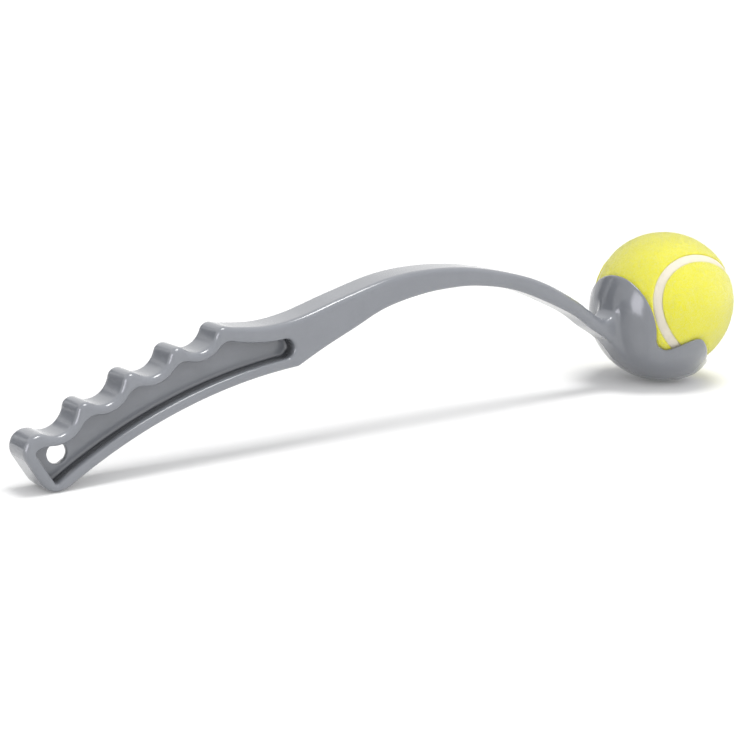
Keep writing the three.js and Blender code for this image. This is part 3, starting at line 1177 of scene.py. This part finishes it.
@dataclass
class Ball:
    """The felt ball: two dog-bone covers, the rubber seam between them and the core inside."""

    seat: Seat
    felt_thickness: float = 0.003
    seam_width: float = 0.0047
    seam_sink: float = 0.0005
    seam_wiggle_share: float = 0.2
    roll: float = math.radians(3)
    pitch: float = math.radians(-59.2)
    yaw: float = math.radians(-129.9)
    cover_steps: int = 260
    cover_rows: int = 72
    felt_overlap: float = 0.0002
    edge_round: float = 0.0012
    edge_drop: float = 0.0007
    lump_height: float = 0.00012
    lump_size: float = 0.0012
    lump_falloff: float = 0.8
    lump_step: float = 2.0
    lump_octaves: int = 3
    lump_reach: int = 3
    seam_steps: int = 480
    seam_ring_steps: int = 20
    seam_ring_radius: float = 0.1
    seam_squareness: float = 5
    fibre_count: int = 26000
    fibre_width: float = 0.000035
    fibre_length: tuple[float, float] = (0.0006, 0.0016)
    held_lift: tuple[float, float] = (0.00004, 0.0002)
    free_lift: tuple[float, float] = (0.0001, 0.0006)
    free_share: float = 0.15

    @property
    def turn(self) -> Matrix:
        """The ball's attitude in the cup."""
        return (Matrix.Rotation(self.roll, 3, "X") @ Matrix.Rotation(self.pitch, 3, "Y")
                @ Matrix.Rotation(self.yaw, 3, "Z"))

    def seam_direction(self, turn: float) -> Vector:
        """Finds the direction of the seam's middle line.

        Args:
            turn: Turn round the ball.

        Returns:
            The direction from the ball's centre.
        """
        wiggle = self.seam_wiggle_share
        wide = 1 - wiggle
        return Vector((
            wide * math.cos(turn) + wiggle * math.cos(3 * turn),
            wide * math.sin(turn) - wiggle * math.sin(3 * turn),
            2 * math.sqrt(wide * wiggle) * math.sin(2 * turn))).normalized()

    def beside_seam(self, turn: float, offset: float) -> Vector:
        """Finds a direction beside the seam.

        Args:
            turn: Turn round the ball.
            offset: Distance from the seam's middle line along the ball's skin.

        Returns:
            The direction from the ball's centre.
        """
        step = math.pi / self.seam_steps
        middle = self.seam_direction(turn)
        run = (self.seam_direction(turn + step) - self.seam_direction(turn - step)).normalized()
        across = run.cross(middle).normalized()
        angle = offset / self.seat.ball_radius
        return middle * math.cos(angle) + across * math.sin(angle)

    def cover_place(self, place: Vector) -> Vector:
        """Finds where a vertex of a flat square goes when the square is cut and laid as a cover.

        Args:
            place: The vertex's place in the square.

        Returns:
            Its place from the ball's centre.
        """
        turn = -math.pi / 4 + math.pi * (place.x + 1) / 2
        even = (place.y + 1) / 2
        share = (even + (1 - math.cos(math.pi * even)) / 2) / 2
        edge = self.beside_seam(turn, -(self.seam_width / 2 - self.felt_overlap))
        mirror = Vector((-edge.y, -edge.x, edge.z))
        angle = edge.angle(mirror, 0.0)
        direction = edge
        if angle > SAME_PLACE:
            direction = (edge * math.sin((1 - share) * angle)
                         + mirror * math.sin(share * angle)).normalized()
        radius = self.seat.ball_radius
        from_edge = min(min(share, 1 - share) * angle * radius / self.edge_round, 1.0)
        drop = self.edge_drop * (1 - math.sqrt(1 - (1 - from_edge)**2))
        lumps = self.lump_height * noise.fractal(
            direction * (radius / self.lump_size),
            self.lump_falloff, self.lump_step, self.lump_octaves)
        return direction * (radius - self.lump_height - drop + lumps)

    def cover(self, letter: str, flip: Matrix) -> Piece:
        """Models one felt cover.

        Args:
            letter: The cover's letter, as in its CAD node.
            flip: How the cover is turned from the first one.

        Returns:
            The finished cover.
        """
        cover = added(bpy.ops.mesh.primitive_grid_add, x_subdivisions=self.cover_steps,
                      y_subdivisions=self.cover_rows, size=2)
        cover.name = f"felt_cover_{letter}"
        reshape(cover, self.cover_place)
        weld(cover)
        self.point_outwards(cover)
        reshape(cover, lambda place: self.seat.centre + self.turn @ flip @ place)
        apply_modifier(cover, "SOLIDIFY", thickness=self.felt_thickness - self.edge_drop,
                       offset=-1.0)
        dress(cover, FELT)
        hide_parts(f"felt_panel_{letter}")
        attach(cover, Body.BALL.value)
        return cover

    @staticmethod
    def point_outwards(sheet: Piece) -> None:
        """Turns the faces of a sheet round the ball's centre outwards if they point in.

        Args:
            sheet: The sheet.
        """
        middle = sheet.data.polygons[len(sheet.data.polygons) // 2]
        if middle.normal.dot(middle.center) < 0:
            activate(sheet)
            bpy.ops.object.mode_set(mode="EDIT")
            bpy.ops.mesh.select_all(action="SELECT")
            bpy.ops.mesh.flip_normals()
            bpy.ops.object.mode_set(mode="OBJECT")

    def seam_place(self, place: Vector) -> Vector:
        """Finds where a vertex of a unit ring goes when the ring is laid as the seam.

        Args:
            place: The vertex's place on the ring.

        Returns:
            Its new place.
        """
        turn = math.atan2(place.y, place.x)
        out, up = math.hypot(place.x, place.y) - 1, place.z
        swing = math.atan2(up, out)
        power = 2 / self.seam_squareness
        flat = math.copysign(abs(math.sin(swing))**power, math.sin(swing))
        high = math.copysign(abs(math.cos(swing))**power, math.cos(swing))
        top = self.seat.ball_radius - self.seam_sink
        low = self.seat.ball_radius - self.felt_thickness
        direction = self.beside_seam(turn, flat * self.seam_width / 2)
        radius = (top + low) / 2 + high * (top - low) / 2
        return self.seat.centre + self.turn @ (direction * radius)

    def seam(self) -> Piece:
        """Models the rubber seam as one closed band.

        Returns:
            The finished seam.
        """
        seam = added(
            bpy.ops.mesh.primitive_torus_add, major_radius=1, minor_radius=self.seam_ring_radius,
            major_segments=self.seam_steps, minor_segments=self.seam_ring_steps)
        seam.name = "seam_band"
        reshape(seam, self.seam_place)
        weld(seam)
        dress(seam, SEAM_RUBBER)
        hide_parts("ball_seam")
        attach(seam, Body.BALL.value)
        return seam

    def fibre(self) -> list[Vector]:
        """Models one fibre of the nap as a unit spike with three sides.

        Returns:
            Its corners, the tip last.
        """
        cone = added(bpy.ops.mesh.primitive_cone_add, vertices=3, radius1=1, radius2=0, depth=1,
                     location=(0, 0, 0.5))
        settle()
        corners = [vertex.co.copy() for vertex in cone.data.vertices]
        corners.sort(key=lambda place: place.z)
        bpy.data.objects.remove(cone)
        return corners

    def nap(self, letter: str, cover: Piece) -> Piece:
        """Scatters short fibres over a cover, all lying nearly flat.

        Args:
            letter: The cover's letter.
            cover: The cover that they grow on.

        Returns:
            The fibres as one piece.
        """
        dice = random.Random(f"nap {letter}")
        skin = self.seat.ball_radius - self.edge_drop - self.lump_reach * self.lump_height
        faces = [face for face in cover.data.polygons
                 if (face.center - self.seat.centre).length > skin]
        roots = dice.choices(faces, weights=[face.area for face in faces], k=self.fibre_count)
        model = self.fibre()
        held = Cup.in_plane(Cup.pole_tilt)
        points: list[Vector] = []
        sides: list[tuple[int, ...]] = []
        for root in roots:
            corners = [cover.data.vertices[k].co for k in root.vertices]
            place = corners[0].lerp(corners[1], dice.random()).lerp(
                corners[2].lerp(corners[-1], dice.random()), dice.random())
            out = (place - self.seat.centre).normalized()
            along = out.orthogonal().normalized()
            along.rotate(Matrix.Rotation(dice.uniform(0, math.tau), 3, out))
            across = out.cross(along)
            free = out.dot(held) < -self.free_share
            length = dice.uniform(*self.fibre_length)
            lift = dice.uniform(*(self.free_lift if free else self.held_lift))
            first = len(points)
            for corner in model:
                spread = (out * corner.x + across * corner.y) * self.fibre_width * (1 - corner.z)
                points.append(place + spread + (along * length + out * lift) * corner.z)
            sides += [(first, first + 1, first + 3), (first + 1, first + 2, first + 3),
                      (first + 2, first, first + 3), (first, first + 2, first + 1)]
        mesh = bpy.data.meshes.new(f"felt_nap_{letter}")
        mesh.from_pydata(points, [], sides)
        nap = bpy.data.objects.new(f"felt_nap_{letter}", mesh)
        bpy.context.collection.objects.link(nap)
        weld(nap)
        # The fibres wear the paler copy of the felt, painted sheen for the light they catch.
        nap.data.materials.append(FELT_PAINTED_SHEEN.material())
        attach(nap, Body.BALL.value)
        return nap

    def build(self) -> list[Piece]:
        """Models the covers, their nap and the seam, and dresses the core.

        Returns:
            The new pieces.
        """
        pieces = []
        for letter, flip in (("a", Matrix.Identity(3)), ("b", Matrix.Rotation(math.pi, 3, "X"))):
            cover = self.cover(letter, flip)
            pieces += [cover, self.nap(letter, cover)]
        pieces.append(self.seam())
        for name in ("ball_core_half_a", "ball_core_half_b"):
            dress_node(name, CORE_RUBBER)
        return pieces


def dress_node(name: str, finish: Finish) -> None:
    """Gives a CAD node that stays a finish in all its material slots.

    Args:
        name: Name of the node.
        finish: Its finish.
    """
    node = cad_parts[name]
    for slot in node.material_slots:
        slot.material = finish.material()
    if not node.material_slots:
        node.data.materials.append(finish.material())


@dataclass
class Studio:
    """White floor and surroundings, soft light, what is mirrored, and the photograph's camera."""

    look_at: Vector
    azimuth: float = math.radians(-35.4)
    elevation: float = math.radians(12.6)
    depth: float = 0.85
    focal_pixels: float = 1812.5
    picture_pixels: float = 736
    ball_pixel: tuple[float, float] = (662.8, 301.5)
    floor_size: float = 24
    floor_albedo: float = 0.8
    floor_lift: float = 0.13
    sky_strength: float = 0.45
    front_strength: float = 1.15
    front_turn: float = math.radians(32)
    front_elevation: float = math.radians(8)
    sun_strength: float = 1.8
    sun_angle: float = math.radians(25)
    sun_lean: tuple[float, float] = (math.radians(4), math.radians(6))
    window_place: tuple[float, float, float] = (-0.66, -0.68, 0.18)
    window_size: tuple[float, float] = (0.4, 0.54)
    window_power: float = 2.9
    window_colour: tuple[float, float, float] = (0.93, 0.92, 1.0)
    card_places: tuple[tuple[float, float, float], ...] = ((-1.15, 0.2, 0.2), (-0.95, 0.62, 0.2))
    card_size: tuple[float, float] = (0.32, 0.7)
    card_albedo: float = 0.01
    sensor_width: float = 36.0
    clip_range: tuple[float, float] = (0.01, 100.0)

    @staticmethod
    def seen_share(tree: Tree) -> Socket:
        """Adds the nodes that tell a ray that shows the surroundings from one that lights.

        Args:
            tree: The material's or world's node tree.

        Returns:
            The socket that is 1 for rays from the camera, a reflection or a clear piece.
        """
        path = new_node(tree, "ShaderNodeLightPath").outputs
        seen = path["Is Camera Ray"]
        for kind in ("Is Glossy Ray", "Is Transmission Ray"):
            seen = new_node(tree, "ShaderNodeMath", {0: seen, 1: path[kind]},
                            operation="MAXIMUM").outputs[0]
        return seen

    def floor(self) -> Piece:
        """Lays the white floor, which keeps the shadows.

        Returns:
            The floor.
        """
        floor = added(bpy.ops.mesh.primitive_plane_add, size=self.floor_size)
        floor.name = "studio_floor"
        material = bpy.data.materials.new("floor_paper")
        tree = blank_tree(material)
        level = self.floor_albedo
        paper = new_node(tree, "ShaderNodeBsdfDiffuse", {"Color": (level, level, level, 1)})
        lift = new_node(tree, "ShaderNodeMath", {0: self.seen_share(tree), 1: self.floor_lift},
                        operation="MULTIPLY")
        glow = new_node(tree, "ShaderNodeEmission", {"Strength": lift.outputs[0]})
        both = new_node(tree, "ShaderNodeAddShader", {0: paper.outputs[0], 1: glow.outputs[0]})
        new_node(tree, "ShaderNodeOutputMaterial", {"Surface": both.outputs[0]})
        floor.data.materials.append(material)
        return floor

    def surroundings(self) -> None:
        """Lights everything evenly and shows plain white behind it."""
        world = bpy.data.worlds.new("studio")
        bpy.context.scene.world = world
        tree = blank_tree(world)
        flat = math.cos(self.front_elevation)
        turn = self.azimuth + self.front_turn
        front = (math.sin(turn) * flat, -math.cos(turn) * flat, math.sin(self.front_elevation))
        place = new_node(tree, "ShaderNodeTexCoord").outputs["Generated"]
        facing = new_node(tree, "ShaderNodeVectorMath", {0: place, 1: front},
                          operation="DOT_PRODUCT")
        level = new_node(tree, "ShaderNodeMapRange", {
            "Value": facing.outputs["Value"], "From Min": 0.0, "From Max": 1.0,
            "To Min": self.sky_strength, "To Max": self.sky_strength + self.front_strength})
        fill = new_node(tree, "ShaderNodeBackground", {
            "Color": WHITE, "Strength": level.outputs[0]})
        white = new_node(tree, "ShaderNodeBackground", {"Color": WHITE, "Strength": 1.0})
        mix = new_node(tree, "ShaderNodeMixShader", {
            0: self.seen_share(tree), 1: fill.outputs[0], 2: white.outputs[0]})
        new_node(tree, "ShaderNodeOutputWorld", {"Surface": mix.outputs[0]})

    @staticmethod
    def mirrored_alone(thing: Piece) -> None:
        """Leaves a card or lamp to be seen in reflections alone.

        Args:
            thing: The card or lamp.
        """
        thing.visible_camera = False
        thing.visible_diffuse = False
        thing.visible_transmission = False

    def cards(self) -> None:
        """Stands dark cards left of the object, seen in reflections alone."""
        material = bpy.data.materials.new("card_black")
        tree = blank_tree(material)
        level = self.card_albedo
        black = new_node(tree, "ShaderNodeBsdfDiffuse", {"Color": (level, level, level, 1)})
        new_node(tree, "ShaderNodeOutputMaterial", {"Surface": black.outputs[0]})
        turn = Matrix.Rotation(self.azimuth, 3, "Z")
        for offset in self.card_places:
            place = self.look_at + turn @ Vector(offset)
            aim = (self.look_at - place).to_track_quat("Z", "Y").to_euler()
            card = added(bpy.ops.mesh.primitive_plane_add, size=1, location=place, rotation=aim)
            card.name = "dark_card"
            card.scale = (*self.card_size, 1)
            card.data.materials.append(material)
            self.mirrored_alone(card)
            card.visible_shadow = False

    def window(self) -> None:
        """Hangs the lit window that the cup mirrors, seen in reflections alone."""
        turn = Matrix.Rotation(self.azimuth, 3, "Z")
        place = self.look_at + turn @ Vector(self.window_place)
        aim = (place - self.look_at).to_track_quat("Z", "Y").to_euler()
        window = added(bpy.ops.object.light_add, type="AREA", location=place, rotation=aim)
        window.name = "studio_window"
        window.data.shape = "RECTANGLE"
        window.data.size, window.data.size_y = self.window_size
        window.data.energy = self.window_power
        window.data.color = self.window_colour
        self.mirrored_alone(window)

    def lamps(self) -> None:
        """Hangs the broad soft light overhead."""
        sun = added(bpy.ops.object.light_add, type="SUN", rotation=(*self.sun_lean, 0))
        sun.name = "overhead_light"
        sun.data.energy = self.sun_strength
        sun.data.angle = self.sun_angle

    def camera(self) -> None:
        """Sets the camera where the photograph was taken from."""
        turn = (Matrix.Rotation(self.azimuth, 3, "Z")
                @ Matrix.Rotation(math.pi / 2 - self.elevation, 3, "X"))
        right, up, back = turn.col[0], turn.col[1], turn.col[2]
        middle = self.picture_pixels / 2
        to_right = (self.ball_pixel[0] - middle) / self.focal_pixels
        to_top = (middle - self.ball_pixel[1]) / self.focal_pixels
        away = right * to_right + up * to_top - back
        camera = added(bpy.ops.object.camera_add, location=self.look_at - away * self.depth,
                       rotation=turn.to_euler())
        camera.data.sensor_width = self.sensor_width
        camera.data.lens = self.focal_pixels * self.sensor_width / self.picture_pixels
        camera.data.clip_start, camera.data.clip_end = self.clip_range
        bpy.context.scene.camera = camera

    def build(self) -> None:
        """Sets up floor, surroundings, lamps, camera and colour view."""
        self.floor()
        self.surroundings()
        self.lamps()
        self.window()
        self.cards()
        self.camera()
        bpy.context.scene.view_settings.view_transform = "Standard"


def main() -> None:
    """Builds the thrower, the ball and the studio in order."""
    logging.basicConfig(level=logging.INFO, format="%(message)s")
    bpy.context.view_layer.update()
    seat = Seat(centre=seat_of_ball())
    thrower = Thrower(handle=Handle(seat), cup=Cup(seat))
    pieces = [thrower.build(), *Ball(seat).build()]
    for piece in pieces:
        log.info("%s: %d faces", piece.name, len(piece.data.polygons))
    Studio(look_at=seat.centre).build()


if __name__ == "__main__":
    main()
